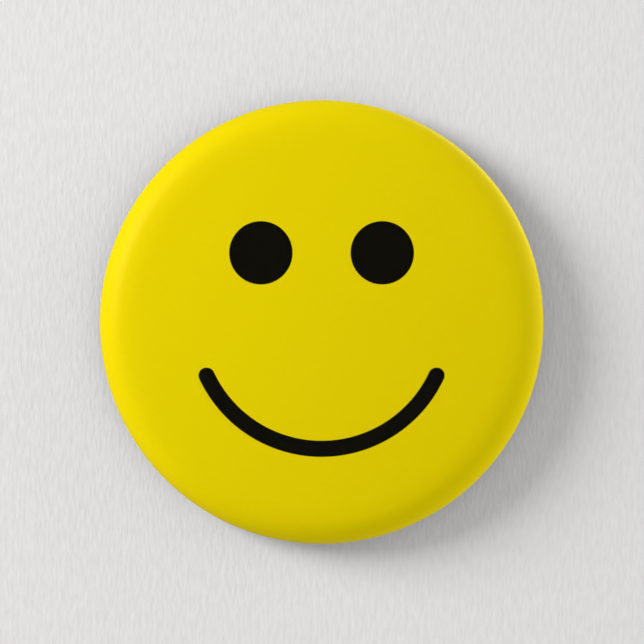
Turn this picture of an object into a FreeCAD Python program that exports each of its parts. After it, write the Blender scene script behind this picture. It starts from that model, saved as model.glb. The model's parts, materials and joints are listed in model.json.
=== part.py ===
import FreeCAD
import Part
import Sketcher
import math
import os

# A round pin-back button, upright as it is worn: +Z up, the face towards -Y, the garment behind it
# towards +Y. The origin is the centre of the rolled rim's rear plane. Lengths are millimetres.

document = FreeCAD.newDocument("button_badge")
sizes = document.addObject("Spreadsheet::Sheet", "Sizes")

DRIVING_SIZES = {
    # the turned outline of the face, measured on the outside of the clear film
    "rim_radius": 29.0,
    "face_depth": 6.6,
    "crown_radius": 220.0,
    "shoulder_radius": 4.2,
    "curl_radius": 0.85,
    # the wrapped layers, from the outside in
    "film_thickness": 0.05,
    "paper_thickness": 0.12,
    "ink_thickness": 0.03,
    "shell_thickness": 0.28,
    "lip_radius": 26.9,
    "tuck_radius": 28.0,
    # the printed picture
    "dot_radius": 4.1,
    "dot_spread": 7.85,
    "dot_height": 8.95,
    "smile_radius": 16.4,
    "smile_width": 2.1,
    "smile_start": 205.0,
    "smile_end": 335.0,
    # the pressed back plate
    "plate_thickness": 0.3,
    "pan_depth": 1.3,
    "bead_depth": 0.05,
    "bead_inner_radius": 25.3,
    "bead_rise_radius": 1.1,
    "bead_crest_radius": 1.4,
    "bead_slope": 60.0,
    "wall_radius": 26.55,
    "wall_top_radius": 0.35,
    "wall_foot_radius": 0.2,
    "flange_depth": 0.66,
    "flange_radius": 28.4,
    # the two straps lanced out of the back plate
    "strap_spread": 8.5,
    "strap_width": 3.4,
    "strap_play": 0.03,
    "strap_foot": 0.15,
    "strap_shear": 0.05,
    # the safety pin's wire
    "wire_radius": 0.45,
    "leg_depth": 0.52,
    "leg_spread": 2.6,
    "coil_place": 17.0,
    "coil_pitch": 0.95,
    "arm_bend_radius": 200.0,
    "arm_straight": 22.3,
    "arm_taper": 9.8,
    "arm_slope": 1.3,
    "arm_gap": 0.02,
    "point_radius": 0.05,
    # the folded clasp over the point
    "clasp_end": -21.0,
    "clasp_length": 7.2,
    "clasp_sheet": 0.25,
    "clasp_play": 0.02,
    "clasp_flap": 1.7,
    "clasp_edge": 0.2,
    "hook_radius": 0.9,
    "hook_height": 2.35,
    "hook_end": 68.0,
    "leg_stop": 0.4,
}

for row, (alias, size) in enumerate(DRIVING_SIZES.items(), start=1):
    sizes.set(f"A{row}", alias)
    sizes.set(f"B{row}", str(size))
    sizes.setAlias(f"B{row}", alias)
document.recompute()


def add_body(label):
    """A new body, which takes the label that names its piece."""
    body = document.addObject("PartDesign::Body", label)
    body.Label = label
    return body


def add_sketch(body, name, role, offset="0"):
    """A sketch on one of the body's own origin planes, moved along that plane's normal."""
    sketch = body.newObject("Sketcher::SketchObject", name)
    plane = next(feature for feature in body.Origin.OriginFeatures if feature.Role == role)
    sketch.AttachmentSupport = [(plane, "")]
    sketch.MapMode = "FlatFace"
    sketch.setExpression("AttachmentOffset.Base.z", offset)
    return sketch


def number(sketch, text):
    """The present value of an expression in the driving sizes."""
    value = sketch.evalExpression(text)
    return float(getattr(value, "Value", value))


def spot(sketch, x, y):
    """The present place of a point that is given by two expressions."""
    return FreeCAD.Vector(number(sketch, x), number(sketch, y), 0)


def fix_distance(sketch, kind, axis, geometry, position, text):
    """Binds one coordinate of a point; a coordinate of zero puts the point on the axis."""
    if text == "0":
        sketch.addConstraint(Sketcher.Constraint("PointOnObject", geometry, position, axis))
        return
    constraint = Sketcher.Constraint(kind, -1, 1, geometry, position, number(sketch, text))
    sketch.setExpression(f"Constraints[{sketch.addConstraint(constraint)}]", text)


def fix_point(sketch, geometry, position, x, y):
    """Binds both coordinates of a point."""
    fix_distance(sketch, "DistanceX", -2, geometry, position, x)
    fix_distance(sketch, "DistanceY", -1, geometry, position, y)


def draw_side(sketch, start, finish, arc):
    """Adds one side of an outline and tells which of its ends it starts from."""
    if arc is None:
        return sketch.addGeometry(Part.LineSegment(start, finish), False), 1
    centre_x, centre_y, turn = arc
    centre = spot(sketch, centre_x, centre_y)
    circle = Part.Circle(centre, FreeCAD.Vector(0, 0, 1), (start - centre).Length)
    first, last = (start, finish) if turn > 0 else (finish, start)
    low = math.atan2(first.y - centre.y, first.x - centre.x)
    high = math.atan2(last.y - centre.y, last.x - centre.x)
    if high <= low:
        high += 2 * math.pi
    side = sketch.addGeometry(Part.ArcOfCircle(circle, low, high), False)
    chord = finish - start
    if abs(chord.y) > abs(chord.x):
        fix_distance(sketch, "DistanceX", -2, side, 3, centre_x)
    else:
        fix_distance(sketch, "DistanceY", -1, side, 3, centre_y)
    return side, 1 if turn > 0 else 2


def draw_outline(sketch, corners, arcs):
    """Draws a closed outline through corners. Each side is straight, unless arcs holds the number
    of the corner that it leaves, with its centre and its turn: 1 anticlockwise, -1 clockwise."""
    spots = [spot(sketch, x, y) for x, y in corners]
    sides = []
    for index, start in enumerate(spots):
        finish = spots[(index + 1) % len(spots)]
        sides.append(draw_side(sketch, start, finish, arcs.get(index)))
    for index, (side, begins) in enumerate(sides):
        before, before_begins = sides[index - 1]
        joint = Sketcher.Constraint("Coincident", before, 3 - before_begins, side, begins)
        sketch.addConstraint(joint)
        fix_point(sketch, side, begins, *corners[index])


def draw_circle(sketch, x, y, radius):
    """Draws a full circle."""
    centre = spot(sketch, x, y)
    shape = Part.Circle(centre, FreeCAD.Vector(0, 0, 1), number(sketch, radius))
    circle = sketch.addGeometry(shape, False)
    fix_point(sketch, circle, 3, x, y)
    constraint = Sketcher.Constraint("Radius", circle, number(sketch, radius))
    sketch.setExpression(f"Constraints[{sketch.addConstraint(constraint)}]", radius)


def revolve(body, name, sketch, axis):
    """Turns a sketch right round one of its own axes."""
    feature = body.newObject("PartDesign::Revolution", name)
    feature.Profile = sketch
    feature.ReferenceAxis = (sketch, [axis])
    feature.Angle = 360
    return feature


def pad(body, name, sketch, length):
    """Thickens a sketch along its normal."""
    feature = body.newObject("PartDesign::Pad", name)
    feature.Profile = sketch
    feature.setExpression("Length", length)
    return feature


# ---- The wrapped layers: each lies between two depths under the film's outer surface. ----

SHOULDER_X = "(Sizes.rim_radius - Sizes.shoulder_radius)"
CROWN_Y = "(Sizes.crown_radius - Sizes.face_depth)"
CROWN_TO_SHOULDER = "(Sizes.crown_radius - Sizes.shoulder_radius)"
SHOULDER_DROP = f"sqrt({CROWN_TO_SHOULDER}^2 - {SHOULDER_X}^2)"
SHOULDER_Y = f"({CROWN_Y} - {SHOULDER_DROP})"
CURL_X = "(Sizes.rim_radius - Sizes.curl_radius)"
PRINT_DEPTH = "Sizes.film_thickness"
INK_FLOOR = "(Sizes.film_thickness + Sizes.ink_thickness)"
SKIN_DEPTH = "(Sizes.film_thickness + Sizes.paper_thickness)"
SHELL_FLOOR = f"({SKIN_DEPTH} + Sizes.shell_thickness)"
TURN_DEPTH = f"({SKIN_DEPTH} + Sizes.shell_thickness / 2)"


def face_corners(depth):
    """The layer's corners at one depth, from the crown to the start of the rolled lip."""
    reach = f"(Sizes.crown_radius - {depth}) / {CROWN_TO_SHOULDER}"
    return [
        ("0", f"{depth} - Sizes.face_depth"),
        (f"{SHOULDER_X} * {reach}", f"{CROWN_Y} - {SHOULDER_DROP} * {reach}"),
        (f"Sizes.rim_radius - {depth}", SHOULDER_Y),
        (f"Sizes.rim_radius - {depth}", "-Sizes.curl_radius"),
        (CURL_X, f"-{depth}"),
        ("Sizes.lip_radius", f"-{depth}"),
    ]


def face_arcs(first, turn):
    """The three arcs of face_corners, numbered from the corner that the crown's arc leaves."""
    crown = ("0", CROWN_Y, turn)
    shoulder = (SHOULDER_X, SHOULDER_Y, turn)
    curl = (CURL_X, "-Sizes.curl_radius", turn)
    return {first: crown, first + turn: shoulder, first + 3 * turn: curl}


def tuck_corners(depth):
    """Where a wrapped skin has turned round the lip's edge and runs out again under it."""
    level = f"{depth} - 2 * {TURN_DEPTH}"
    return [("Sizes.lip_radius", level), ("Sizes.tuck_radius", level)]


def draw_skin(sketch, outer, inner):
    """A skin that covers the face, wraps round the rim and is tucked under the lip."""
    outside = face_corners(outer) + tuck_corners(outer)
    inside = face_corners(inner) + tuck_corners(inner)
    last = len(outside) + len(inside) - 2
    arcs = face_arcs(0, 1)
    arcs[5] = ("Sizes.lip_radius", f"-{TURN_DEPTH}", 1)
    arcs[last - 5] = ("Sizes.lip_radius", f"-{TURN_DEPTH}", -1)
    arcs.update(face_arcs(last, -1))
    draw_outline(sketch, outside + inside[::-1], arcs)


def draw_shell(sketch, outer, inner):
    """The tinplate shell, whose lip ends in a rounded edge."""
    outside = face_corners(outer)
    inside = face_corners(inner)
    last = len(outside) + len(inside) - 2
    arcs = face_arcs(0, 1)
    arcs[5] = ("Sizes.lip_radius", f"-{TURN_DEPTH}", 1)
    arcs.update(face_arcs(last, -1))
    draw_outline(sketch, outside + inside[::-1], arcs)


def make_layer(label, draw, outer, inner):
    """One layer of the face, turned about the badge's axis."""
    body = add_body(label)
    section = add_sketch(body, f"{label}_section", "XY_Plane")
    draw(section, outer, inner)
    revolve(body, f"{label}_turned", section, "V_Axis")
    return body


def draw_ink_layer(sketch, outer, inner):
    """A thin cap of ink on the crown, as wide as the crown's arc."""
    corners = face_corners(outer)[:2] + face_corners(inner)[1::-1]
    arcs = {0: ("0", CROWN_Y, 1), 2: ("0", CROWN_Y, -1)}
    draw_outline(sketch, corners, arcs)


def polar(radius, angle):
    """A point on a circle about the badge's axis."""
    return f"({radius}) * cos({angle})", f"({radius}) * sin({angle})"


def make_picture():
    """The printed picture as a prism through the face: two round dots above one round-ended arc."""
    body = add_body("picture_prism")
    sketch = add_sketch(body, "picture", "XZ_Plane")
    for side in ("-", ""):
        draw_circle(sketch, f"{side}Sizes.dot_spread", "Sizes.dot_height", "Sizes.dot_radius")
    outside = "Sizes.smile_radius + Sizes.smile_width / 2"
    inside = "Sizes.smile_radius - Sizes.smile_width / 2"
    corners = [
        polar(outside, "Sizes.smile_start"),
        polar(outside, "Sizes.smile_end"),
        polar(inside, "Sizes.smile_end"),
        polar(inside, "Sizes.smile_start"),
    ]
    arcs = {
        0: ("0", "0", 1),
        1: (*polar("Sizes.smile_radius", "Sizes.smile_end"), 1),
        2: ("0", "0", -1),
        3: (*polar("Sizes.smile_radius", "Sizes.smile_start"), 1),
    }
    draw_outline(sketch, corners, arcs)
    pad(body, "picture_depth", sketch, "Sizes.face_depth + 1")
    return body


def combine(kind, label, base, tool):
    """A boolean of two objects, labelled as the piece that it makes."""
    result = document.addObject(kind, label)
    result.Label = label
    result.Base = base
    result.Tool = tool
    return result


# ---- The back plate ----

LEG_Y = "-Sizes.leg_depth"
LEG_Z = "-Sizes.leg_spread"
PAN_Y = "-Sizes.pan_depth"
STRAP_BORE = "(Sizes.wire_radius + Sizes.strap_play)"
STRAP_CREST = f"({STRAP_BORE} + Sizes.plate_thickness)"
LEG_OVER_PAN = "(Sizes.pan_depth - Sizes.leg_depth)"
OUTER_FOOT = f"(sqrt(2) * {STRAP_CREST} + {LEG_OVER_PAN})"
INNER_FOOT = f"(sqrt(2) * {STRAP_BORE} + {LEG_OVER_PAN} + Sizes.strap_foot)"


def plate_corners(thickness):
    """The plate's corners on its rear side, or on its front side when thickness is the sheet's."""
    rise = f"(Sizes.bead_rise_radius + {thickness})"
    crest = f"(Sizes.bead_crest_radius - {thickness})"
    top = f"(Sizes.wall_top_radius - {thickness})"
    foot = f"(Sizes.wall_foot_radius + {thickness})"
    slope_x = f"{RISE_X} + {rise} * sin(Sizes.bead_slope)"
    slope_y = f"{RISE_Y} - {rise} * cos(Sizes.bead_slope)"
    bend_x = f"Sizes.bead_inner_radius - {crest} * sin(Sizes.bead_slope)"
    bend_y = f"{CREST_Y} + {crest} * cos(Sizes.bead_slope)"
    return [
        ("0", f"{PAN_Y} - {thickness}"),
        (RISE_X, f"{PAN_Y} - {thickness}"),
        (slope_x, slope_y),
        (bend_x, bend_y),
        ("Sizes.bead_inner_radius", f"-Sizes.bead_depth - {thickness}"),
        (TOP_X, f"-Sizes.bead_depth - {thickness}"),
        (f"{TOP_X} + {top}", TOP_Y),
        (f"{TOP_X} + {top}", FOOT_Y),
        (FOOT_X, f"{FOOT_Y} - {foot}"),
        ("Sizes.flange_radius", f"{FOOT_Y} - {foot}"),
    ]


# The bead's inner slope is two arcs that meet on a straight flank, whose length makes up the rise.
BEAD_RADII = "(Sizes.bead_rise_radius + Sizes.bead_crest_radius)"
BEAD_RISE = "(Sizes.pan_depth - Sizes.bead_depth)"
FLANK_RISE = f"({BEAD_RISE} - {BEAD_RADII} * (1 - cos(Sizes.bead_slope)))"
FLANK_RUN = f"({FLANK_RISE} / tan(Sizes.bead_slope))"
RISE_X = f"(Sizes.bead_inner_radius - {BEAD_RADII} * sin(Sizes.bead_slope) - {FLANK_RUN})"
RISE_Y = f"({PAN_Y} + Sizes.bead_rise_radius)"
CREST_Y = "(-Sizes.bead_depth - Sizes.bead_crest_radius)"
TOP_X = "(Sizes.wall_radius - Sizes.wall_top_radius)"
TOP_Y = "(-Sizes.bead_depth - Sizes.wall_top_radius)"
FOOT_X = "(Sizes.wall_radius + Sizes.wall_foot_radius)"
FOOT_Y = "(Sizes.wall_foot_radius - Sizes.flange_depth)"


def plate_arcs(first, step):
    """The four arcs of plate_corners, numbered from the corner that the first of them leaves."""
    return {
        first: (RISE_X, RISE_Y, step),
        first + 2 * step: ("Sizes.bead_inner_radius", CREST_Y, -step),
        first + 4 * step: (TOP_X, TOP_Y, -step),
        first + 6 * step: (FOOT_X, FOOT_Y, step),
    }


def draw_plate(sketch):
    """The plate's turned section: flat pan, raised bead, wall through the lip, trapped flange."""
    rear = plate_corners("0")
    front = plate_corners("Sizes.plate_thickness")
    arcs = plate_arcs(1, 1)
    arcs.update(plate_arcs(len(rear) + len(front) - 3, -1))
    draw_outline(sketch, rear + front[::-1], arcs)


def draw_strap(sketch):
    """A strap's section across the wire: an arch over the leg with feet that slope to the pan."""
    foot_y = f"{PAN_Y} - Sizes.strap_foot"
    crest = f"{STRAP_CREST} / sqrt(2)"
    bore = f"{STRAP_BORE} / sqrt(2)"
    corners = [
        (PAN_Y, f"{LEG_Z} + {OUTER_FOOT}"),
        (f"{LEG_Y} + {crest}", f"{LEG_Z} + {crest}"),
        (f"{LEG_Y} + {crest}", f"{LEG_Z} - {crest}"),
        (PAN_Y, f"{LEG_Z} - {OUTER_FOOT}"),
        (foot_y, f"{LEG_Z} - {OUTER_FOOT}"),
        (foot_y, f"{LEG_Z} - {INNER_FOOT}"),
        (f"{LEG_Y} + {bore}", f"{LEG_Z} - {bore}"),
        (f"{LEG_Y} + {bore}", f"{LEG_Z} + {bore}"),
        (foot_y, f"{LEG_Z} + {INNER_FOOT}"),
        (foot_y, f"{LEG_Z} + {OUTER_FOOT}"),
    ]
    draw_outline(sketch, corners, {1: (LEG_Y, LEG_Z, -1), 6: (LEG_Y, LEG_Z, 1)})


def draw_windows(sketch):
    """The two windows that the straps were lanced out of."""
    half_length = "(Sizes.strap_width / 2 + Sizes.strap_shear)"
    half_height = f"(({OUTER_FOOT} + {INNER_FOOT}) / 2)"
    for side in ("-", ""):
        centre = f"{side}Sizes.strap_spread"
        corners = [
            (f"{centre} - {half_length}", f"{LEG_Z} - {half_height}"),
            (f"{centre} + {half_length}", f"{LEG_Z} - {half_height}"),
            (f"{centre} + {half_length}", f"{LEG_Z} + {half_height}"),
            (f"{centre} - {half_length}", f"{LEG_Z} + {half_height}"),
        ]
        draw_outline(sketch, corners, {})


def make_back_plate():
    """The pressed tinplate back, with the two straps that hold the pin's fixed leg."""
    body = add_body("back_plate")
    section = add_sketch(body, "plate_section", "XY_Plane")
    draw_plate(section)
    turned = revolve(body, "plate_turned", section, "V_Axis")
    windows = add_sketch(body, "strap_windows", "XZ_Plane")
    draw_windows(windows)
    lanced = body.newObject("PartDesign::Pocket", "plate_lanced")
    lanced.Profile = windows
    lanced.Reversed = True
    lanced.setExpression("Length", "Sizes.pan_depth + 2 * Sizes.plate_thickness")
    for name, side in (("near", "-"), ("far", "")):
        start = f"{side}Sizes.strap_spread - Sizes.strap_width / 2"
        arch = add_sketch(body, f"strap_section_{name}", "YZ_Plane", start)
        draw_strap(arch)
        pad(body, f"strap_{name}", arch, "Sizes.strap_width")
    document.recompute()
    if lanced.Shape.Volume >= turned.Shape.Volume:
        raise ValueError("the strap windows don't cut the plate")
    return body


# ---- The safety pin ----

def make_fixed_leg():
    """The leg that the straps hold: straight wire from the clasp's end to the coil."""
    body = add_body("pin_fixed_leg")
    start = "Sizes.clasp_end + Sizes.leg_stop"
    section = add_sketch(body, "leg_section", "YZ_Plane", start)
    draw_circle(section, LEG_Y, LEG_Z, "Sizes.wire_radius")
    pad(body, "leg_wire", section, f"Sizes.coil_place - ({start})")
    return body


def make_coil():
    """One and a half turns of wire, as three half rings. Each half ring leans so that it climbs
    half a pitch from one leg's side to the other's, and its ends run straight into the legs."""
    rings = []
    for index in range(3):
        ring = document.addObject("Part::Torus", f"coil_half_{index}")
        ring.setExpression("Radius1", "sqrt(Sizes.leg_spread^2 + Sizes.coil_pitch^2 / 16)")
        ring.setExpression("Radius2", "Sizes.wire_radius")
        ring.Angle3 = 180
        ring.setExpression("Placement.Base.x", "Sizes.coil_place")
        climb = f"{2 * index + 1} * Sizes.coil_pitch / 4"
        ring.setExpression("Placement.Base.y", f"{climb} - Sizes.leg_depth")
        rings.append(ring)
    pitch = sizes.coil_pitch
    for index, ring in enumerate(rings):
        across = 1 if index % 2 == 0 else -1
        start = FreeCAD.Vector(0, -pitch / 4, -across * sizes.leg_spread)
        outward = FreeCAD.Vector(across, 0, 0)
        axis = start.cross(outward)
        turn = FreeCAD.Rotation(start, outward, axis, "ZXY")
        ring.Placement = FreeCAD.Placement(ring.Placement.Base, turn)
    coil = document.addObject("Part::MultiFuse", "pin_coil")
    coil.Label = "pin_coil"
    coil.Shapes = rings
    return coil


def make_arm():
    """The pointed arm: a long gentle bend out of the coil, straight wire, then a long ground taper
    with a blunted tip. The body's own X axis runs along the straight wire, towards the point."""
    body = add_body("pin_arm")
    section = add_sketch(body, "arm_section", "XY_Plane")
    tip = "Sizes.arm_straight + Sizes.arm_taper"
    corners = [
        ("0", "0"),
        (tip, "0"),
        (tip, "Sizes.point_radius"),
        ("Sizes.arm_straight", "Sizes.wire_radius"),
        ("0", "Sizes.wire_radius"),
    ]
    draw_outline(section, corners, {})
    revolve(body, "arm_wire", section, "H_Axis")
    ring = add_sketch(body, "arm_bend_section", "YZ_Plane")
    draw_circle(ring, "0", "0", "Sizes.wire_radius")
    reach = number(ring, "Sizes.arm_bend_radius")
    bend_axis = Part.LineSegment(FreeCAD.Vector(reach, 0, 0), FreeCAD.Vector(reach, 1, 0))
    line = ring.addGeometry(bend_axis, True)
    fix_point(ring, line, 1, "Sizes.arm_bend_radius", "0")
    fix_point(ring, line, 2, "Sizes.arm_bend_radius", "1")
    bend = body.newObject("PartDesign::Revolution", "arm_bend")
    bend.Profile = ring
    bend.ReferenceAxis = (ring, ["Axis0"])
    bend.Reversed = True
    bend.setExpression("Angle", "Sizes.arm_slope")
    body.Placement.Rotation = FreeCAD.Rotation(FreeCAD.Vector(0, 0, 1), 180 + sizes.arm_slope)
    coil_end = "Sizes.coil_place - Sizes.arm_gap"
    coil_top = "1.5 * Sizes.coil_pitch - Sizes.leg_depth"
    run = "Sizes.arm_bend_radius * sin(Sizes.arm_slope)"
    drop = "Sizes.arm_bend_radius * (1 - cos(Sizes.arm_slope))"
    body.setExpression("Placement.Base.x", f"{coil_end} - {run}")
    body.setExpression("Placement.Base.y", f"{coil_top} - {drop}")
    body.setExpression("Placement.Base.z", "Sizes.leg_spread")
    document.recompute()
    if body.Shape.BoundBox.XMax < sizes.coil_place - 2 * sizes.arm_gap:
        raise ValueError("the arm's bend turns away from the coil")
    return body


def clasp_corners():
    """The outside of the clasp's section, from the flap's edge round the leg to the hook's end."""
    outer = "(Sizes.wire_radius + Sizes.clasp_play + Sizes.clasp_sheet)"
    crown = "(Sizes.hook_radius + Sizes.clasp_sheet)"
    return [
        (f"{LEG_Y} + {outer}", f"{LEG_Z} + Sizes.clasp_flap"),
        (f"{LEG_Y} + {outer}", LEG_Z),
        (f"{LEG_Y} - {outer}", LEG_Z),
        (f"{LEG_Y} - {outer}", "Sizes.hook_height"),
        hook_point(crown),
    ]


HOOK_Y = "(Sizes.hook_radius - Sizes.wire_radius - Sizes.clasp_play - Sizes.leg_depth)"


def hook_point(radius):
    """The end of the hook's arc at one radius."""
    along = f"{HOOK_Y} + {radius} * cos(Sizes.hook_end)"
    return along, f"Sizes.hook_height + {radius} * sin(Sizes.hook_end)"


def make_clasp():
    """The folded cap: its sheet is closed round the fixed leg, runs up behind the point and hooks
    over it, and a wall shuts its outer end."""
    body = add_body("pin_clasp")
    inner = "(Sizes.wire_radius + Sizes.clasp_play)"
    outside = clasp_corners()
    inside = [
        hook_point("Sizes.hook_radius"),
        (f"{LEG_Y} - {inner}", "Sizes.hook_height"),
        (f"{LEG_Y} - {inner}", LEG_Z),
        (f"{LEG_Y} + {inner}", LEG_Z),
        (f"{LEG_Y} + {inner}", f"{LEG_Z} + Sizes.clasp_flap"),
    ]
    leg = (LEG_Y, LEG_Z)
    hook = (HOOK_Y, "Sizes.hook_height")
    folds = {1: (*leg, -1), 3: (*hook, -1)}
    section = add_sketch(body, "clasp_section", "YZ_Plane", "Sizes.clasp_end")
    draw_outline(section, outside + inside, {**folds, 5: (*hook, 1), 7: (*leg, 1)})
    pad(body, "clasp_folded", section, "Sizes.clasp_length")
    wall = add_sketch(body, "clasp_wall_outline", "YZ_Plane", "Sizes.clasp_end")
    draw_outline(wall, outside, folds)
    closed = pad(body, "clasp_closed", wall, "Sizes.clasp_sheet")
    document.recompute()
    rounded = body.newObject("PartDesign::Fillet", "clasp_rounded")
    rounded.Base = (closed, edges_at(closed.Shape, sizes.clasp_end))
    rounded.setExpression("Radius", "Sizes.clasp_edge")
    return body


def edges_at(shape, x):
    """The names of the edges that lie wholly in one plane across X."""
    names = []
    for index, edge in enumerate(shape.Edges, start=1):
        box = edge.BoundBox
        if abs(box.XMin - x) < 1e-6 and abs(box.XMax - x) < 1e-6:
            names.append(f"Edge{index}")
    return names


# ---- The pieces, from the front of the badge to its back ----

ink_layer = make_layer("ink_layer", draw_ink_layer, PRINT_DEPTH, INK_FLOOR)
paper_blank = make_layer("paper_blank", draw_skin, PRINT_DEPTH, SKIN_DEPTH)
face_print = combine("Part::Common", "face_print", ink_layer, make_picture())
pieces = [
    make_layer("clear_film", draw_skin, "0", PRINT_DEPTH),
    face_print,
    combine("Part::Cut", "printed_paper", paper_blank, face_print),
    make_layer("front_shell", draw_shell, SKIN_DEPTH, SHELL_FLOOR),
    make_back_plate(),
    make_fixed_leg(),
    make_coil(),
    make_arm(),
    make_clasp(),
]
document.recompute()

for item in document.Objects:
    if {"Invalid", "Error"} & set(item.State):
        raise ValueError(f"{item.Label} failed: {item.State}")
for piece in pieces:
    if piece.Shape.isNull() or not piece.Shape.isValid():
        raise ValueError(f"{piece.Label} has no valid shape")

os.makedirs("parts", exist_ok=True)
for piece in pieces:
    piece.Shape.exportStep(f"parts/{piece.Label}.step")
    print(piece.Label, len(piece.Shape.Solids), "solids", round(piece.Shape.Volume, 3), "mm3")
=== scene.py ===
"""A pin-back button badge: a domed printed face, a tinplate back and a safety pin.

Lengths are in millimetres until they are put into a mesh, where MM turns them into metres.
The badge stands upright as it is worn: +Z up, its face towards -Y, its rim's rear plane at y = 0.
"""

import json
import logging
import math
from dataclasses import dataclass, field, replace
from enum import Enum

import bpy
import numpy as np
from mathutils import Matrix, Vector


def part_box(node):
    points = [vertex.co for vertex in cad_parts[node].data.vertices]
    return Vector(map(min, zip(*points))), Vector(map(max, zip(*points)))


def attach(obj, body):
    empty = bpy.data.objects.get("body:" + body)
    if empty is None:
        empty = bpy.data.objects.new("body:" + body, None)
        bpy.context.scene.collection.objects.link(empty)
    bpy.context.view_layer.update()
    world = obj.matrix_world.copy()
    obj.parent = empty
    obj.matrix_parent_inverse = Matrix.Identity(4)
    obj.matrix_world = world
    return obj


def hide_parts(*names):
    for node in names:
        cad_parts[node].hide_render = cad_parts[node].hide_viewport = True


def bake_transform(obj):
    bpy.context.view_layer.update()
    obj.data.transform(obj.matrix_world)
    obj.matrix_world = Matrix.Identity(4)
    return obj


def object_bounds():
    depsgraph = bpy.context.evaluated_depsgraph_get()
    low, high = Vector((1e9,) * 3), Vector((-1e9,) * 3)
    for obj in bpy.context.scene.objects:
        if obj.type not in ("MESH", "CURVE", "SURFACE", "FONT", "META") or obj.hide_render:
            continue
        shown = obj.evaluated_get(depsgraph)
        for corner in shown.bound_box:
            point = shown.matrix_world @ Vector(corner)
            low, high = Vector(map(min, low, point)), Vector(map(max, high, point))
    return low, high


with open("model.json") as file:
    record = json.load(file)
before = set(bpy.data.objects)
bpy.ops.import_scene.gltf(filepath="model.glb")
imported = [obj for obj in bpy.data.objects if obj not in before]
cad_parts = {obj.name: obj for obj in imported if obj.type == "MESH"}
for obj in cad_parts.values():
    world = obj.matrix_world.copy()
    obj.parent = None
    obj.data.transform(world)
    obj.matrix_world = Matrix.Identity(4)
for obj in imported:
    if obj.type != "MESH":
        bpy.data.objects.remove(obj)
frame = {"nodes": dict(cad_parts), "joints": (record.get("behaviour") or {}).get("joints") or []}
CAD_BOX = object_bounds()

MM = 0.001
POLE_SIZE = 1e-9
LOG = logging.getLogger("button_badge")


def srgb(code: str) -> tuple:
    """Turns an sRGB hex colour into linear light.

    Args:
        code: six hex digits.

    Returns:
        Linear red, green and blue, and an alpha of 1.
    """
    parts = np.array([int(code[i : i + 2], 16) for i in (0, 2, 4)]) / 255
    linear = np.where(parts <= 0.04045, parts / 12.92, ((parts + 0.055) / 1.055) ** 2.4)
    return (*linear.tolist(), 1.0)


def per_metre(size: float) -> float:
    """A pattern's scale, in cycles to the metre, from the size in millimetres of one of its features."""
    return 1 / (size * MM)


def ease(share: np.ndarray) -> np.ndarray:
    """A smooth step: 0 below 0, 1 above 1, and 3t^2 - 2t^3 between."""
    held = np.clip(share, 0, 1)
    return held * held * (3 - 2 * held)


def add_node(tree: bpy.types.NodeTree, kind: str, settings: dict, inputs: dict) -> bpy.types.Node:
    """Adds one node to a tree, sets it and links it.

    Args:
        tree: the node tree.
        kind: the node's type name.
        settings: the node's own properties, by name.
        inputs: its inputs by name or number, each a plain value or the socket that feeds it.

    Returns:
        The new node.
    """
    node = tree.nodes.new(kind)
    for name, value in settings.items():
        setattr(node, name, value)
    for name, value in inputs.items():
        if isinstance(value, bpy.types.NodeSocket):
            tree.links.new(value, node.inputs[name])
        else:
            node.inputs[name].default_value = value
    return node


# ---------------------------------------------------------------- surfaces


def surface_object(name: str, rows: np.ndarray) -> bpy.types.Object:
    """Makes a closed surface from a grid of points, with its faces outwards.

    The grid is joined round its second side. A row whose points all meet is one vertex, a pole. The
    faces are turned over if the volume they enclose, a sixth of the sum of each triangle's triple
    product, comes out negative.

    Args:
        name: the piece's name.
        rows: points in millimetres, as (rows, points in a row, 3), with a pole at both ends.

    Returns:
        The object, linked to the scene, smooth and at the origin.
    """
    pole = np.ptp(rows, axis=1).max(axis=1) < POLE_SIZE
    kept = np.ones(rows.shape[:2], bool)
    kept[pole, 1:] = False
    ids = np.cumsum(kept.ravel()).reshape(kept.shape) - 1
    points = rows[kept]
    near, far = ids[:-1], ids[1:]
    quads = np.stack([near, np.roll(near, -1, 1), np.roll(far, -1, 1), far], -1).reshape(-1, 4)
    starts_sharp = quads[:, 0] == quads[:, 1]
    ends_sharp = quads[:, 2] == quads[:, 3]
    whole = quads[~(starts_sharp | ends_sharp)]
    corners = np.concatenate([quads[starts_sharp][:, [0, 2, 3]], quads[ends_sharp][:, [0, 1, 2]]])
    triangles = np.concatenate([whole[:, [0, 1, 2]], whole[:, [0, 2, 3]], corners])
    first, second, third = (points[triangles[:, i]] for i in range(3))
    if np.einsum("ij,ij->i", first, np.cross(second, third)).sum() < 0:
        whole, corners = whole[:, ::-1], corners[:, ::-1]
    mesh = bpy.data.meshes.new(name)
    mesh.vertices.add(len(points))
    mesh.vertices.foreach_set("co", (points * MM).astype(np.float32).ravel())
    loops = np.concatenate([whole.ravel(), corners.ravel()]).astype(np.int32)
    counts = np.concatenate([np.full(len(whole), 4), np.full(len(corners), 3)])
    mesh.loops.add(len(loops))
    mesh.loops.foreach_set("vertex_index", loops)
    mesh.polygons.add(len(counts))
    mesh.polygons.foreach_set("loop_start", (np.cumsum(counts) - counts).astype(np.int32))
    mesh.update(calc_edges=True)
    mesh.validate()
    mesh.shade_smooth()
    made = bpy.data.objects.new(name, mesh)
    bpy.context.scene.collection.objects.link(made)
    return made


def arc(centre: tuple, radius: float, turn: tuple, count: int) -> np.ndarray:
    """Points of an arc in the (radius, y) half plane.

    A point at angle a is the centre plus radius times (sin a, -cos a), so 0 faces -Y and a quarter
    turn faces outwards.

    Args:
        centre: the arc's centre, as (radius, y).
        radius: the arc's own radius.
        turn: the first and last angle in degrees.
        count: how many points, both ends included.

    Returns:
        The points, as (count, 2).
    """
    angle = np.radians(np.linspace(*turn, count))
    return np.stack([centre[0] + radius * np.sin(angle), centre[1] - radius * np.cos(angle)], -1)


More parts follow.
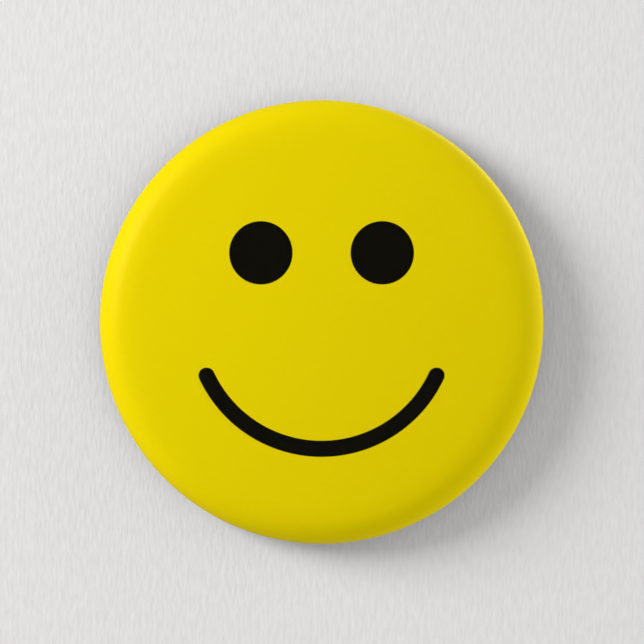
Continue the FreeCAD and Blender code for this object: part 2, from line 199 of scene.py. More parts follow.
def tube_rows(line: np.ndarray, radius: float, sides: int) -> np.ndarray:
    """Carries a circle along a line that never runs along Y, and closes both ends.

    Each section lies across the line's own direction, between the Y axis made square to that
    direction and the cross product of the two.

    Args:
        line: the centre line, as (points, 3).
        radius: the tube's radius.
        sides: points round the tube.

    Returns:
        The rows for surface_object, with a pole at each end.
    """
    along = np.gradient(line, axis=0)
    along /= np.linalg.norm(along, axis=1, keepdims=True)
    side = np.cross(along, [0.0, 1.0, 0.0])
    side /= np.linalg.norm(side, axis=1, keepdims=True)
    rise = np.cross(side, along)
    angle = np.linspace(0, 2 * np.pi, sides, endpoint=False)
    ring = radius * (
        np.cos(angle)[None, :, None] * side[:, None] + np.sin(angle)[None, :, None] * rise[:, None]
    )
    walls = line[:, None] + ring
    first = np.repeat(line[None, :1], sides, axis=1)
    last = np.repeat(line[None, -1:], sides, axis=1)
    return np.concatenate([first, walls, last])


# ---------------------------------------------------------------- finishes


class Grain(Enum):
    """The way a metal's fine lines run, as how much shorter a feature is along X, Y and Z."""

    ROLLED_ALONG_X = (0.06, 1.0, 1.0)
    DRAWN_ALONG_X = (0.03, 1.0, 1.0)
    TUMBLED = (1.0, 1.0, 1.0)


@dataclass(frozen=True)
class Finish:
    """A procedural material: material() makes the tree and shade() fills it."""

    name: str

    def material(self) -> bpy.types.Material:
        """Makes the material.

        Returns:
            The material, with its shader linked to the output.
        """
        made = bpy.data.materials.new(self.name)
        made.use_nodes = True
        tree = made.node_tree
        tree.nodes.clear()
        place = add_node(tree, "ShaderNodeTexCoord", {}, {}).outputs["Object"]
        shader = self.shade(tree, place)
        add_node(tree, "ShaderNodeOutputMaterial", {}, {"Surface": shader})
        return made

    def shade(self, tree: bpy.types.NodeTree, place: bpy.types.NodeSocket) -> bpy.types.NodeSocket:
        """Adds the shader's nodes.

        Args:
            tree: the material's node tree.
            place: the piece's own coordinates, in metres.

        Returns:
            The output of the last shader.
        """
        raise NotImplementedError

    def dress(self, *pieces: bpy.types.Object) -> None:
        """Puts one new material of this finish on every piece, in all its slots.

        Args:
            pieces: the objects to dress.
        """
        made = self.material()
        for piece in pieces:
            if not piece.material_slots:
                piece.data.materials.append(made)
            for held in piece.material_slots:
                held.material = made


@dataclass(frozen=True)
class PolyesterFilm(Finish):
    """Satin polyester film, 0.05 mm thick, stretched over the print: clear, with a soft bloom of light.

    Only its outer face mirrors, by Fresnel, and its micro-rough surface keeps that low at a slant. The
    bloom is warm, because much of it has been down to the print and back. The inner face lies tight on
    the paper, so no light turns back there.
    """

    name: str = "satin_polyester_film"
    ior: float = 1.16
    most: float = 0.035
    bloom: str = "FFF0A8"
    roughness: float = 0.42
    scuff: float = 2.5
    scuff_octaves: float = 2.0
    scuff_depth: float = 0.025

    def shade(self, tree: bpy.types.NodeTree, place: bpy.types.NodeSocket) -> bpy.types.NodeSocket:
        """Mixes a clear sheet with a satin mirror by Fresnel, on the outer face only.

        Args:
            tree: the material's node tree.
            place: the piece's own coordinates, in metres.

        Returns:
            The output of the last shader.
        """
        noise = add_node(
            tree,
            "ShaderNodeTexNoise",
            {},
            {"Vector": place, "Scale": per_metre(self.scuff), "Detail": self.scuff_octaves},
        )
        rough = add_node(
            tree,
            "ShaderNodeMapRange",
            {},
            {
                "Value": noise.outputs["Fac"],
                "To Min": self.roughness - self.scuff_depth,
                "To Max": self.roughness + self.scuff_depth,
            },
        )
        mirror = add_node(
            tree,
            "ShaderNodeBsdfGlossy",
            {},
            {"Color": srgb(self.bloom), "Roughness": rough.outputs["Result"]},
        )
        clear = add_node(tree, "ShaderNodeBsdfTransparent", {}, {"Color": srgb("FFFFFF")})
        fresnel = add_node(tree, "ShaderNodeFresnel", {}, {"IOR": self.ior})
        held = add_node(
            tree, "ShaderNodeMath", {"operation": "MINIMUM"}, {0: fresnel.outputs["Fac"], 1: self.most}
        )
        turned = add_node(tree, "ShaderNodeNewGeometry", {}, {}).outputs["Backfacing"]
        outer = add_node(tree, "ShaderNodeMath", {"operation": "SUBTRACT"}, {0: 1.0, 1: turned})
        share = add_node(
            tree,
            "ShaderNodeMath",
            {"operation": "MULTIPLY"},
            {0: held.outputs[0], 1: outer.outputs[0]},
        )
        mixed = add_node(
            tree,
            "ShaderNodeMixShader",
            {},
            {0: share.outputs[0], 1: clear.outputs[0], 2: mirror.outputs[0]},
        )
        return mixed.outputs[0]


@dataclass(frozen=True)
class PrintedPaper(Finish):
    """Coated offset paper flooded with yellow: an even, matt colour, faintly clouded by its fibres."""

    name: str = "coated_paper_yellow_ink"
    ink: str = "DDC800"
    thin_ink: str = "D9C300"
    cloud: float = 0.9
    cloud_octaves: float = 5.0
    tooth: float = 0.12
    tooth_octaves: float = 2.0
    tooth_depth: float = 0.004
    tooth_strength: float = 0.1
    roughness: float = 0.75
    ior: float = 1.45

    def shade(self, tree: bpy.types.NodeTree, place: bpy.types.NodeSocket) -> bpy.types.NodeSocket:
        """Mixes two close yellows by a cloudy noise, over a fine tooth.

        Args:
            tree: the material's node tree.
            place: the piece's own coordinates, in metres.

        Returns:
            The output of the last shader.
        """
        cloud = add_node(
            tree,
            "ShaderNodeTexNoise",
            {},
            {"Vector": place, "Scale": per_metre(self.cloud), "Detail": self.cloud_octaves},
        )
        colour = add_node(
            tree,
            "ShaderNodeMix",
            {"data_type": "RGBA"},
            {0: cloud.outputs["Fac"], 6: srgb(self.thin_ink), 7: srgb(self.ink)},
        )
        tooth = add_node(
            tree,
            "ShaderNodeTexNoise",
            {},
            {"Vector": place, "Scale": per_metre(self.tooth), "Detail": self.tooth_octaves},
        )
        bump = add_node(
            tree,
            "ShaderNodeBump",
            {},
            {
                "Strength": self.tooth_strength,
                "Distance": self.tooth_depth * MM,
                "Height": tooth.outputs["Fac"],
            },
        )
        shader = add_node(
            tree,
            "ShaderNodeBsdfPrincipled",
            {},
            {
                "Base Color": colour.outputs[2],
                "Roughness": self.roughness,
                "IOR": self.ior,
                "Specular IOR Level": 0.0,
                "Normal": bump.outputs["Normal"],
            },
        )
        return shader.outputs[0]


@dataclass(frozen=True)
class BlackInk(Finish):
    """Offset black in a full coat: dense, with tiny thin places where the paper takes less ink."""

    name: str = "offset_black_ink"
    ink: str = "030303"
    thin_ink: str = "080807"
    mottle: float = 0.35
    mottle_octaves: float = 3.0
    roughness: float = 0.7

    def shade(self, tree: bpy.types.NodeTree, place: bpy.types.NodeSocket) -> bpy.types.NodeSocket:
        """Mixes two blacks by a fine mottle.

        Args:
            tree: the material's node tree.
            place: the piece's own coordinates, in metres.

        Returns:
            The output of the last shader.
        """
        mottle = add_node(
            tree,
            "ShaderNodeTexNoise",
            {},
            {"Vector": place, "Scale": per_metre(self.mottle), "Detail": self.mottle_octaves},
        )
        colour = add_node(
            tree,
            "ShaderNodeMix",
            {"data_type": "RGBA"},
            {0: mottle.outputs["Fac"], 6: srgb(self.ink), 7: srgb(self.thin_ink)},
        )
        shader = add_node(
            tree,
            "ShaderNodeBsdfPrincipled",
            {},
            {"Base Color": colour.outputs[2], "Roughness": self.roughness, "Specular IOR Level": 0.0},
        )
        return shader.outputs[0]


@dataclass(frozen=True)
class PlatedMetal(Finish):
    """A plated or tinned metal: a mirror softened by fine lines and by handling.

    The lines are stretched noise that raises a slight bump, and a broader noise dulls the polish in
    patches. Real lines are about 0.05 mm apart; these are drawn wider, so that they show.
    """

    colour: str
    dull_colour: str
    roughness: float
    grain: Grain
    line: float = 0.6
    patch: float = 3.2
    depth: float = 0.006
    line_octaves: float = 1.0
    line_strength: float = 0.5
    patch_octaves: float = 2.0
    patch_span: tuple = (0.3, 0.7)
    polish_gain: float = 0.06
    polish_loss: float = 0.1

    def shade(self, tree: bpy.types.NodeTree, place: bpy.types.NodeSocket) -> bpy.types.NodeSocket:
        """Adds the lines, the dull patches and a metal shader.

        Args:
            tree: the material's node tree.
            place: the piece's own coordinates, in metres.

        Returns:
            The output of the last shader.
        """
        stretched = add_node(
            tree, "ShaderNodeMapping", {}, {"Vector": place, "Scale": tuple(self.grain.value)}
        )
        lines = add_node(
            tree,
            "ShaderNodeTexNoise",
            {},
            {"Vector": stretched.outputs[0], "Scale": per_metre(self.line), "Detail": self.line_octaves},
        )
        patches = add_node(
            tree,
            "ShaderNodeTexNoise",
            {},
            {"Vector": place, "Scale": per_metre(self.patch), "Detail": self.patch_octaves},
        )
        colour = add_node(
            tree,
            "ShaderNodeMix",
            {"data_type": "RGBA"},
            {0: patches.outputs["Fac"], 6: srgb(self.colour), 7: srgb(self.dull_colour)},
        )
        rough = add_node(
            tree,
            "ShaderNodeMapRange",
            {},
            {
                "Value": patches.outputs["Fac"],
                "From Min": self.patch_span[0],
                "From Max": self.patch_span[1],
                "To Min": self.roughness - self.polish_gain,
                "To Max": self.roughness + self.polish_loss,
            },
        )
        bump = add_node(
            tree,
            "ShaderNodeBump",
            {},
            {
                "Strength": self.line_strength,
                "Distance": self.depth * MM,
                "Height": lines.outputs["Fac"],
            },
        )
        shader = add_node(
            tree,
            "ShaderNodeBsdfPrincipled",
            {},
            {
                "Base Color": colour.outputs[2],
                "Metallic": 1.0,
                "Roughness": rough.outputs["Result"],
                "Normal": bump.outputs["Normal"],
            },
        )
        return shader.outputs[0]


# Tinplate leaves the mill rolled one way: a cool, soft mirror with fine straight lines.
TINPLATE = PlatedMetal("rolled_tinplate", "C6C9CB", "AEB1B3", 0.3, Grain.ROLLED_ALONG_X)
# Spring wire is drawn through a die and nickel plated: brighter, slightly warm, with lines along it.
PIN_WIRE = PlatedMetal(
    "nickel_plated_spring_wire",
    "D2CEC6",
    "B8B4AB",
    0.2,
    Grain.DRAWN_ALONG_X,
    line=0.2,
    patch=1.6,
    depth=0.003,
)
# The coil is the same wire, but it turns, so its marks have no single direction.
COIL_WIRE = replace(PIN_WIRE, name="nickel_plated_coiled_wire", grain=Grain.TUMBLED, line=0.4)
# The clasp is stamped from thin sheet and tumbled before plating, so it has no single direction.
CLASP_SHEET = PlatedMetal(
    "nickel_plated_stamped_sheet",
    "CFC9BC",
    "B3AC9D",
    0.26,
    Grain.TUMBLED,
    patch=2.0,
    depth=0.004,
)


@dataclass(frozen=True)
class BackdropPaper(Finish):
    """A pale warm paper with fine upright fibres in low relief. From behind, it is clear."""

    name: str = "pale_backdrop_paper"
    colour: str = "E5E4E3"
    shade_colour: str = "D2D1D0"
    fibre: float = 0.5
    fibre_octaves: float = 4.0
    stretch: float = 0.28
    relief: float = 0.11
    relief_strength: float = 0.6

    def shade(self, tree: bpy.types.NodeTree, place: bpy.types.NodeSocket) -> bpy.types.NodeSocket:
        """Mixes two pale greys by upright noise, and lets rays through the back face.

        Args:
            tree: the material's node tree.
            place: the piece's own coordinates, in metres.

        Returns:
            The output of the last shader.
        """
        upright = add_node(
            tree, "ShaderNodeMapping", {}, {"Vector": place, "Scale": (1.0, 1.0, self.stretch)}
        )
        fibres = add_node(
            tree,
            "ShaderNodeTexNoise",
            {},
            {"Vector": upright.outputs[0], "Scale": per_metre(self.fibre), "Detail": self.fibre_octaves},
        )
        colour = add_node(
            tree,
            "ShaderNodeMix",
            {"data_type": "RGBA"},
            {0: fibres.outputs["Fac"], 6: srgb(self.shade_colour), 7: srgb(self.colour)},
        )
        bump = add_node(
            tree,
            "ShaderNodeBump",
            {},
            {
                "Strength": self.relief_strength,
                "Distance": self.relief * MM,
                "Height": fibres.outputs["Fac"],
            },
        )
        matt = add_node(
            tree,
            "ShaderNodeBsdfDiffuse",
            {},
            {"Color": colour.outputs[2], "Normal": bump.outputs["Normal"]},
        )
        clear = add_node(tree, "ShaderNodeBsdfTransparent", {}, {})
        turned = add_node(tree, "ShaderNodeNewGeometry", {}, {}).outputs["Backfacing"]
        mixed = add_node(
            tree, "ShaderNodeMixShader", {}, {0: turned, 1: matt.outputs[0], 2: clear.outputs[0]}
        )
        return mixed.outputs[0]


@dataclass(frozen=True)
class PlainFloor(Finish):
    """A plain light grey floor with a barely mottled matt surface."""

    name: str = "pale_floor"
    colour: str = "B4B2AD"
    mottle: float = 8.0
    roughness: tuple = (0.75, 0.9)

    def shade(self, tree: bpy.types.NodeTree, place: bpy.types.NodeSocket) -> bpy.types.NodeSocket:
        """Adds a matt shader with a faint mottle in its roughness.

        Args:
            tree: the material's node tree.
            place: the piece's own coordinates, in metres.

        Returns:
            The output of the last shader.
        """
        mottle = add_node(tree, "ShaderNodeTexNoise", {}, {"Vector": place, "Scale": per_metre(self.mottle)})
        rough = add_node(
            tree,
            "ShaderNodeMapRange",
            {},
            {
                "Value": mottle.outputs["Fac"],
                "To Min": self.roughness[0],
                "To Max": self.roughness[1],
            },
        )
        shader = add_node(
            tree,
            "ShaderNodeBsdfPrincipled",
            {},
            {"Base Color": srgb(self.colour), "Roughness": rough.outputs["Result"]},
        )
        return shader.outputs[0]


# ---------------------------------------------------------------- the badge's front


@dataclass
class DomeForm:
    """The form that every layer of the face follows.

    From the middle outwards: crown, easement, shoulder, curl, flat ring and rolled lip.
    """

    rim_radius: float
    face_depth: float
    crown_radius: float = 220.0
    easement_radius: float = 15.0
    easement_drop: float = 0.115
    shoulder_radius: float = 4.2
    curl_radius: float = 0.85
    lip_radius: float = 26.9
    lip_middle: float = 0.31
    tuck_radius: float = 28.0
    pleats: int = 84
    pleat_height: float = 0.19
    pleat_power: int = 3
    pleat_sway: float = 1.3
    pleat_sways: int = 5
    pleat_mean: float = 0.65
    pleat_swells: tuple = ((0.2, 7, 0.9), (0.15, 17, 2.1))
    pleat_start: float = 0.6
    pleat_run: float = 0.5
    crown_points: int = 14
    easement_points: int = 10
    shoulder_points: int = 18
    curl_points: int = 12
    ring_points: int = 8
    lip_points: int = 10

    @property
    def crown_centre(self) -> float:
        """The y of the crown's centre of curvature."""
        return self.crown_radius - self.face_depth

    @property
    def shoulder_centre(self) -> tuple:
        """The centre, as (radius, y), of the shoulder's arc, dropped to make room for the easement."""
        across = self.rim_radius - self.shoulder_radius
        reach = self.crown_radius - self.shoulder_radius
        return across, self.crown_centre - math.sqrt(reach**2 - across**2) + self.easement_drop

    @property
    def easement_centre(self) -> tuple:
        """The centre, as (radius, y), of the arc that touches the crown and the shoulder from inside.

        It lies where a circle about the crown's centre, of the difference of those two radii, meets
        a circle about the shoulder's centre, of the difference of the other two.
        """
        across, level = self.shoulder_centre
        rise = level - self.crown_centre
        apart = math.hypot(across, rise)
        long = self.crown_radius - self.easement_radius
        short = self.easement_radius - self.shoulder_radius
        along = (long**2 - short**2 + apart**2) / (2 * apart)
        aside = math.sqrt(long**2 - along**2)
        return (
            (along * across + aside * rise) / apart,
            self.crown_centre + (along * rise - aside * across) / apart,
        )

    def cover(self, depth: float) -> np.ndarray:
        """The form's outline at one depth below its outer face, as far as the lip.

        Every arc keeps its centre and gives up the depth from its radius, so layers stay an even
        distance apart.

        Args:
            depth: the distance below the outer face.

        Returns:
            Points as (radius, y), from the middle of the face to the edge of the flat ring.
        """
        shoulder, easement = self.shoulder_centre, self.easement_centre
        first = math.degrees(math.atan2(easement[0], self.crown_centre - easement[1]))
        second = math.degrees(math.atan2(shoulder[0] - easement[0], easement[1] - shoulder[1]))
        curl_across = self.rim_radius - self.curl_radius
        curl = (curl_across, -self.curl_radius)
        ring = np.linspace(curl_across, self.lip_radius, self.ring_points)[1:]
        return np.concatenate(
            [
                arc((0.0, self.crown_centre), self.crown_radius - depth, (0, first), self.crown_points),
                arc(easement, self.easement_radius - depth, (first, second), self.easement_points)[1:],
                arc(shoulder, self.shoulder_radius - depth, (second, 90), self.shoulder_points)[1:],
                arc(curl, self.curl_radius - depth, (90, 180), self.curl_points),
                np.stack([ring, np.full_like(ring, -depth)], -1),
            ]
        )

    def tuck(self, depth: float) -> np.ndarray:
        """The rest of a sheet's outline: a half turn round the lip, then a short run back beneath it.

        Args:
            depth: the distance below the outer face.

        Returns:
            Points as (radius, y), from the lip to the sheet's edge.
        """
        turn = self.lip_middle - depth
        return np.concatenate(
            [
                arc((self.lip_radius, -self.lip_middle), turn, (180, 360), self.lip_points)[1:],
                np.array([[self.tuck_radius, -self.lip_middle - turn]]),
            ]
        )

    def revolved(self, outline: np.ndarray, segments: int, pleated: bool) -> np.ndarray:
        """Turns a closed outline about the badge's axis.

        Args:
            outline: points as (radius, y), with both ends on the axis.
            segments: points round the axis.
            pleated: whether the back of the rim is gathered.

        Returns:
            The rows for surface_object.
        """
        angle = np.linspace(0, 2 * np.pi, segments, endpoint=False)
        radius, height = outline[:, :1], outline[:, 1]
        rise = self.pleat(height, angle) if pleated else np.zeros((len(height), segments))
        return np.stack([radius * np.cos(angle), height[:, None] + rise, radius * np.sin(angle)], -1)

    def pleat(self, height: np.ndarray, angle: np.ndarray) -> np.ndarray:
        """How far the gathered sheet stands up on the back of the rim.

        Narrow ridges are the cube of the positive half of a cosine round the rim, stronger and
        weaker by two slow sines, and they rise from nothing on the curl to full height on the ring.

        Args:
            height: the y of each profile point.
            angle: the angles round the badge.

        Returns:
            The rise for each point and angle, in millimetres.
        """
        sway = self.pleat_sway * np.sin(self.pleat_sways * angle)
        crimp = np.clip(np.cos(self.pleats * angle + sway), 0, 1) ** self.pleat_power
        swells = (size * np.sin(count * angle + lead) for size, count, lead in self.pleat_swells)
        strength = sum(swells, start=self.pleat_mean)
        share = ease((height + self.pleat_start) / self.pleat_run)
        return self.pleat_height * share[:, None] * (crimp * strength)[None, :]

    def face_height(self, across: np.ndarray, up: np.ndarray, depth: np.ndarray) -> np.ndarray:
        """The y of points on the crown: its centre less the root of radius squared less x and z squared."""
        return self.crown_centre - np.sqrt((self.crown_radius - depth) ** 2 - across**2 - up**2)


@dataclass
class WrappedSheet:
    """A thin sheet stretched over the dome, pleated round the rim and tucked under the lip."""

    name: str
    node: str
    form: DomeForm
    outer: float
    inner: float
    segments: int
    finish: Finish

    def build(self) -> bpy.types.Object:
        """Turns the sheet's closed outline about the badge's axis.

        Returns:
            The dressed sheet, riding on the badge in place of its CAD node.
        """
        form = self.form
        sides = [np.concatenate([form.cover(d), form.tuck(d)]) for d in (self.outer, self.inner)]
        outline = np.concatenate([sides[0], sides[1][::-1]])
        sheet = surface_object(self.name, form.revolved(outline, self.segments, True))
        self.finish.dress(sheet)
        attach(sheet, "badge")
        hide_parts(self.node)
        return sheet


@dataclass
class PressedShell:
    """The tinplate shell under the paper, its edge rolled in and rounded at the lip."""

    form: DomeForm
    outer: float = 0.17
    inner: float = 0.45
    segments: int = 360
    lip_points: int = 8

    def build(self) -> bpy.types.Object:
        """Joins the shell's two sides by a half round lip and turns them about the axis.

        Returns:
            The dressed shell, riding on the badge in place of its CAD node.
        """
        form = self.form
        middle, half = (self.outer + self.inner) / 2, (self.inner - self.outer) / 2
        lip = arc((form.lip_radius, -middle), half, (180, 360), self.lip_points)[1:-1]
        outline = np.concatenate([form.cover(self.outer), lip, form.cover(self.inner)[::-1]])
        shell = surface_object("pressed_shell", form.revolved(outline, self.segments, False))
        TINPLATE.dress(shell)
        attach(shell, "badge")
        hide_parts("front_shell")
        return shell


@dataclass
class PrintedPicture:
    """The printed black picture: two round dots over an even arc with round ends."""

    form: DomeForm
    lowest: float
    highest: float
    dot_radius: float = 4.1
    dot_spread: float = 7.85
    arc_width: float = 2.1
    arc_turn: tuple = (205.0, 335.0)
    top: float = 0.055
    bottom: float = 0.095
    across_points: int = 9
    round_points: int = 160
    cap_points: int = 13
    arc_points: int = 121
    finish: Finish = field(default_factory=BlackInk)

    def dot(self, name: str, across: float) -> bpy.types.Object:
        """Makes a flat round dot on the crown: radius out over the top, down the edge and back beneath.

        Args:
            name: the piece's name.
            across: the x of its middle.

        Returns:
            The dot.
        """
        out = np.linspace(0, self.dot_radius, self.across_points)
        radius = np.concatenate([out, out[::-1]])[:, None]
        depth = np.repeat([self.top, self.bottom], self.across_points)[:, None]
        angle = np.linspace(0, 2 * np.pi, self.round_points, endpoint=False)
        x = across + radius * np.cos(angle)
        z = self.highest - self.dot_radius + radius * np.sin(angle)
        return surface_object(name, np.stack([x, self.form.face_height(x, z, depth), z], -1))

    def stroke(self, name: str) -> bpy.types.Object:
        """Carries a thin oblong section round the arc, narrowing to a half circle at each end.

        Past an end, a row that lies half a width times sin(p) beyond it is half a width times cos(p)
        to each side, so the end is round.

        Args:
            name: the piece's name.

        Returns:
            The arc.
        """
        half = self.arc_width / 2
        radius = -self.lowest - half
        cap = np.radians(np.linspace(90, 0, self.cap_points))
        first, last = np.radians(self.arc_turn)
        middle = np.linspace(first, last, self.arc_points)[1:-1]
        angle = np.concatenate(
            [first - half * np.sin(cap) / radius, middle, last + half * np.sin(cap[::-1]) / radius]
        )[:, None]
        width = np.concatenate([np.cos(cap), np.ones(len(middle)), np.cos(cap[::-1])])[:, None]
        width[[0, -1]] = 0
        out = np.linspace(-1, 1, self.across_points)
        side = np.concatenate([out, out[::-1]])[None, :]
        level = np.repeat([self.top, self.bottom], self.across_points)[None, :]
        depth = np.where(width > 0, level, (self.top + self.bottom) / 2)
        reach = radius + half * width * side
        x, z = reach * np.cos(angle), reach * np.sin(angle)
        return surface_object(name, np.stack([x, self.form.face_height(x, z, depth), z], -1))

    def build(self) -> list:
        """Makes the three marks.

        Returns:
            The dressed marks, riding on the badge in place of the CAD print.
        """
        marks = [
            self.dot("ink_left_dot", -self.dot_spread),
            self.dot("ink_right_dot", self.dot_spread),
            self.stroke("ink_arc"),
        ]
        self.finish.dress(*marks)
        for mark in marks:
            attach(mark, "badge")
            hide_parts("face_print")
        return marks


@dataclass
class BadgeFront:
    """The face of the badge: clear film over printed paper over a tinplate shell."""

    film_depth: tuple = (0.0, 0.05)
    paper_depth: tuple = (0.065, 0.165)
    film_segments: int = 672
    paper_segments: int = 576

    def build(self) -> list:
        """Builds the film, the paper, the picture and the shell.

        Returns:
            All the pieces.
        """
        low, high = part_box("clear_film")
        form = DomeForm(rim_radius=high.x / MM, face_depth=-low.y / MM)
        film = WrappedSheet(
            "film_sheet", "clear_film", form, *self.film_depth, self.film_segments, PolyesterFilm()
        )
        paper = WrappedSheet(
            "paper_sheet", "printed_paper", form, *self.paper_depth, self.paper_segments, PrintedPaper()
        )
        print_low, print_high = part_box("face_print")
        picture = PrintedPicture(form, print_low.z / MM, print_high.z / MM)
        pieces = [film.build(), paper.build(), *picture.build(), PressedShell(form).build()]
        for piece in pieces:
            piece.visible_diffuse = False  # the backdrop's shade stays neutral beside the yellow
        return pieces


# ---------------------------------------------------------------- the badge's back


@dataclass
class SafetyPin:
    """The bent wire pin: a fixed leg, a coil of six quarter turns and the arm.

    The coil is built at rest; nothing here makes it wind as the pin opens. swing_shares gives the share
    of the arm's swing meant for the start of each quarter turn, though nothing reads it: the first
    quarter would bend by first_bend, the next would bring it to the first of held_shares, the three
    after that would bend evenly and little, up to the second, and the last, next to the arm, would make
    the rest, so that the upper turn stays as far off the lower one as it can.
    """

    wire_radius: float = 0.45
    coil_radius: float = 2.6
    first_level: float = -0.52
    last_level: float = 0.905
    level_share: float = 0.25
    first_bend: float = 0.205
    held_shares: tuple = (0.25, 0.29)
    quarter_turns: int = 6
    first_angle: float = -90.0
    cut_angle: float = 60.0
    rows: int = 49
    sides: int = 24

    @property
    def swing_shares(self) -> list:
        """The share of the arm's swing at the start of each quarter turn, and at the coil's end."""
        return [0.0, self.first_bend, *np.linspace(*self.held_shares, self.quarter_turns - 2), 1.0]

    def line(self, quarter: int) -> np.ndarray:
        """One quarter turn of the coil's centre line.

        The wire turns evenly about the hinge, starts at the leg's level, climbs by a smooth step
        between the first and last level shares of its run, and ends at the arm's level.

        Args:
            quarter: 0 to 5, from the fixed leg to the arm.

        Returns:
            Points of the centre line, as (rows, 3).
        """
        share = (quarter + np.linspace(0, 1, self.rows)) / self.quarter_turns
        angle = np.radians(self.first_angle + 90 * self.quarter_turns * share)
        climb = ease((share - self.level_share) / (1 - 2 * self.level_share))
        middle = frame["joints"][0]["pos_m"][0] / MM
        return np.stack(
            [
                middle + self.coil_radius * np.cos(angle),
                self.first_level + (self.last_level - self.first_level) * climb,
                self.coil_radius * np.sin(angle),
            ],
            -1,
        )

    def build(self) -> list:
        """Builds the coil and dresses the legs.

        Returns:
            All the pieces.
        """
        quarters = []
        for quarter in range(self.quarter_turns):
            line = self.line(quarter)
            tube = tube_rows(line, self.wire_radius, self.sides)
            piece = surface_object(f"coil_quarter_{quarter + 1}", tube)
            piece.data.set_sharp_from_angle(angle=math.radians(self.cut_angle))
            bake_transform(piece)
            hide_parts("pin_coil")
            quarters.append(piece)
        COIL_WIRE.dress(*quarters)
        legs = [frame["nodes"]["pin_fixed_leg"], frame["nodes"]["pin_arm"]]
        PIN_WIRE.dress(*legs)
        return [*quarters, *legs]


@dataclass
class BadgeBack:
    """The tinplate back, the pin it holds and the clasp that shields the point."""

    pin: SafetyPin = field(default_factory=SafetyPin)

    def build(self) -> list:
        """Dresses the back plate and the clasp, and builds the pin.

        Returns:
            All the pieces.
        """
        plate = frame["nodes"]["back_plate"]
        clasp = frame["nodes"]["pin_clasp"]
        TINPLATE.dress(plate)
        CLASP_SHEET.dress(clasp)
        return [plate, clasp, *self.pin.build()]


# ---------------------------------------------------------------- the studio


@dataclass
class SoftLight:
    """A round soft light that faces the badge.

    It leans away from the line straight out of the face, and is turned up from the badge's left.
    """

    name: str
    lean: float
    turn: float
    distance: float
    width: float
    power: float

    def build(self) -> bpy.types.Object:
        """Makes the light.

        Returns:
            The light's object.
        """
        data = bpy.data.lights.new(self.name, "AREA")
        data.shape = "DISK"
        data.size = self.width
        data.energy = self.power
        made = bpy.data.objects.new(self.name, data)
        lean, turn = math.radians(self.lean), math.radians(self.turn)
        direction = Vector(
            (-math.cos(turn) * math.sin(lean), -math.cos(lean), math.sin(turn) * math.sin(lean))
        )
        made.location = direction * self.distance
        made.rotation_euler = direction.to_track_quat("Z", "Y").to_euler()
        bpy.context.scene.collection.objects.link(made)
        return made


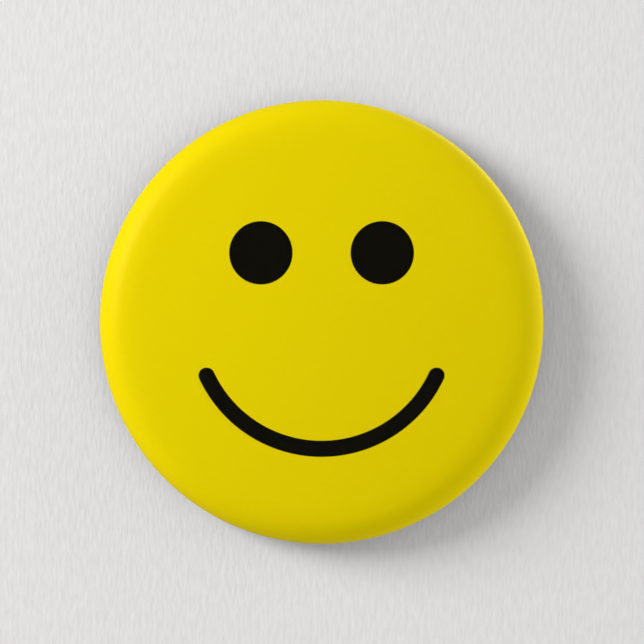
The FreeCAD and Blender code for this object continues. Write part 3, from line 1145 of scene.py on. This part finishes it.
@dataclass
class Studio:
    """The camera, the lights, a pale paper close behind the badge and a pale floor below it.

    Lengths here are in metres.
    """

    view_width: float = 0.0842
    camera_distance: float = 0.55
    camera_aside: float = 0.00006
    clip: tuple = (0.01, 10.0)
    sensor: float = 36.0
    paper_gap: float = 0.0001
    paper_half: float = 0.3
    floor_level: float = -0.046
    floor_half: float = 1.5
    ahead: float = 0.463
    around: float = 0.733
    behind: float = 0.34
    ahead_span: tuple = (-0.97, -0.35)
    behind_span: tuple = (0.1, 0.7)
    tilt: tuple = (0.42, 0.0, -0.16)

    def camera(self) -> None:
        """Puts a long lens straight in front of the face."""
        data = bpy.data.cameras.new("camera")
        data.sensor_width = self.sensor
        data.lens = self.sensor * self.camera_distance / self.view_width
        data.clip_start, data.clip_end = self.clip
        made = bpy.data.objects.new("camera", data)
        made.location = (self.camera_aside, -self.camera_distance, 0)
        made.rotation_euler = (math.radians(90), 0, 0)
        bpy.context.scene.collection.objects.link(made)
        bpy.context.scene.camera = made

    def plane(self, name: str, corners: list, finish: Finish) -> bpy.types.Object:
        """Makes a dressed flat sheet of the studio.

        Args:
            name: the sheet's name.
            corners: its corners in metres, anticlockwise from the side that it faces.
            finish: what it is dressed in.

        Returns:
            The sheet, dressed and linked to the scene, with no tie to the badge.
        """
        mesh = bpy.data.meshes.new(name)
        mesh.from_pydata(corners, [], [tuple(range(len(corners)))])
        made = bpy.data.objects.new(name, mesh)
        bpy.context.scene.collection.objects.link(made)
        finish.dress(made)
        return made

    def surroundings(self) -> None:
        """Makes the paper and the floor. The badge mirrors the floor, and has no other light from either."""
        y = CAD_BOX[1].y + self.paper_gap
        w, low = self.paper_half, self.floor_level
        corners = [(-w, y, low), (w, y, low), (w, y, w), (-w, y, w)]
        paper = self.plane("backdrop_paper", corners, BackdropPaper())
        paper.visible_diffuse = False
        paper.visible_glossy = False
        paper.visible_transmission = False
        paper.visible_shadow = False
        f = self.floor_half
        corners = [(-f, -f, low), (f, -f, low), (f, f, low), (-f, f, low)]
        floor = self.plane("floor", corners, PlainFloor())
        floor.visible_diffuse = False

    def sky(self) -> None:
        """Lights the room: one strength ahead of the face, one all around and one behind.

        Each grows towards the lower right by the dot product of the direction and the tilt.
        """
        world = bpy.data.worlds.new("studio")
        world.use_nodes = True
        tree = world.node_tree
        tree.nodes.clear()
        place = add_node(tree, "ShaderNodeTexCoord", {}, {}).outputs["Generated"]
        split = add_node(tree, "ShaderNodeSeparateXYZ", {}, {0: place})
        front = add_node(
            tree,
            "ShaderNodeMapRange",
            {"interpolation_type": "SMOOTHSTEP"},
            {
                "Value": split.outputs["Y"],
                "From Min": self.ahead_span[0],
                "From Max": self.ahead_span[1],
                "To Min": self.ahead,
                "To Max": self.around,
            },
        )
        back = add_node(
            tree,
            "ShaderNodeMapRange",
            {"interpolation_type": "SMOOTHSTEP"},
            {
                "Value": split.outputs["Y"],
                "From Min": self.behind_span[0],
                "From Max": self.behind_span[1],
                "To Min": 1.0,
                "To Max": self.behind / self.around,
            },
        )
        level = add_node(
            tree,
            "ShaderNodeMath",
            {"operation": "MULTIPLY"},
            {0: front.outputs["Result"], 1: back.outputs["Result"]},
        )
        grow = add_node(
            tree, "ShaderNodeVectorMath", {"operation": "DOT_PRODUCT"}, {0: place, 1: self.tilt}
        )
        tilted = add_node(
            tree,
            "ShaderNodeMath",
            {"operation": "MULTIPLY_ADD"},
            {0: level.outputs[0], 1: grow.outputs["Value"], 2: level.outputs[0]},
        )
        shader = add_node(
            tree, "ShaderNodeBackground", {}, {"Color": srgb("FFFFFF"), "Strength": tilted.outputs[0]}
        )
        add_node(tree, "ShaderNodeOutputWorld", {}, {"Surface": shader.outputs[0]})
        bpy.context.scene.world = world

    def build(self) -> None:
        """Builds the studio and shows colours as they are, with no film look over them."""
        bpy.context.scene.view_settings.view_transform = "Standard"
        self.camera()
        self.surroundings()
        self.sky()
        for light in (
            SoftLight("window_light", 64, 23, 1.0, 0.5, 10.7),
            SoftLight("far_side_fill", 88, 165, 1.0, 0.9, 3.3),
            SoftLight("back_light", 139, 138, 0.9, 0.6, 4.5),
        ):
            light.build()


def main() -> None:
    """Builds the studio and the badge, and reports each piece."""
    logging.basicConfig(level=logging.INFO, format="%(name)s: %(message)s")
    Studio().build()
    for part in (BadgeFront(), BadgeBack()):
        for piece in part.build():
            LOG.info("%s: %s, %d faces", type(part).__name__, piece.name, len(piece.data.polygons))


if __name__ == "__main__":
    main()
